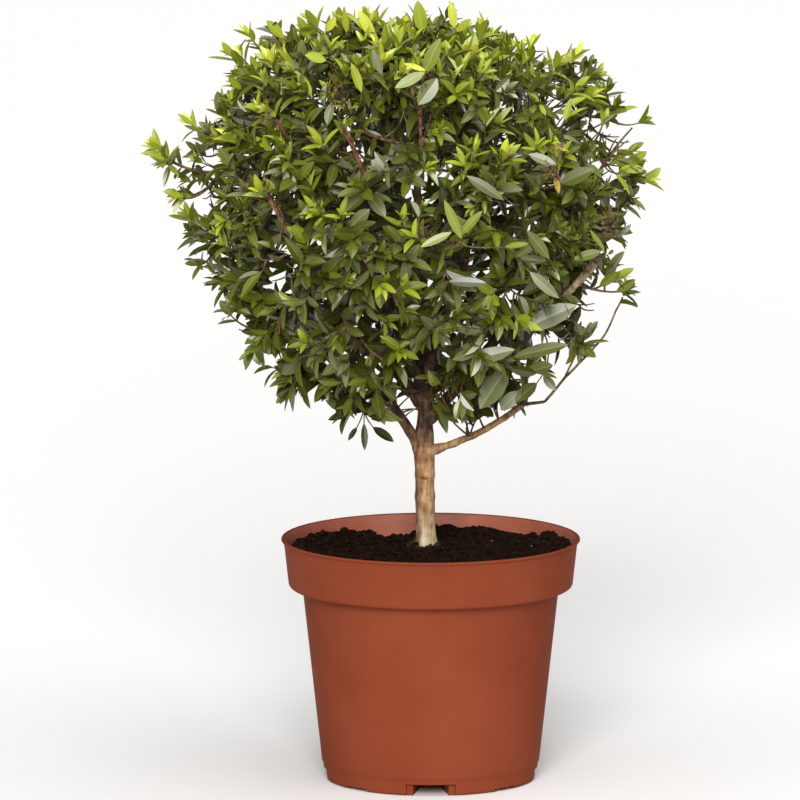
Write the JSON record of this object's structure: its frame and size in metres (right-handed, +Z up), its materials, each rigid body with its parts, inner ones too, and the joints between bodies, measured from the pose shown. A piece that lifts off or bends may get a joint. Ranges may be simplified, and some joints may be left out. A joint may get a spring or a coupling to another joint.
{
  "type": "standard lollipop topiary",
  "caption": "Small-leaved evergreen grown as a dense round ball of foliage on a short clear stem, in a round stepped-rim plastic nursery pot of dark soil.",
  "frame": {"origin": "centre of the pot's flat underside", "axes": "+Z up along the pot's axis and the stem, -Y the front, +X to the right seen from the front"},
  "size_m": [0.255, 0.2327, 0.3868],
  "materials": {
    "pot": "terracotta-brown moulded plastic, satin",
    "soil": "dark moist peat, matt",
    "bark": "thin tan bark, matt",
    "foliage": "small evergreen leaves, semi-gloss"
  },
  "bodies": {
    "root": {"pot": "pot", "soil": "soil", "trunk": "bark", "bough_leader": "bark", "bough_left": "bark", "bough_low_right": "bark", "bough_right": "bark", "bough_high_left": "bark", "bough_front_left": "bark", "bough_front_right": "bark", "bough_back_left": "bark", "bough_back_right": "bark", "foliage_top": "foliage", "foliage_low_left": "foliage", "foliage_low_right": "foliage", "foliage_right": "foliage", "foliage_left": "foliage", "foliage_front_left": "foliage", "foliage_front_right": "foliage", "foliage_back_left": "foliage", "foliage_back_right": "foliage"}
  },
  "joints": []
}
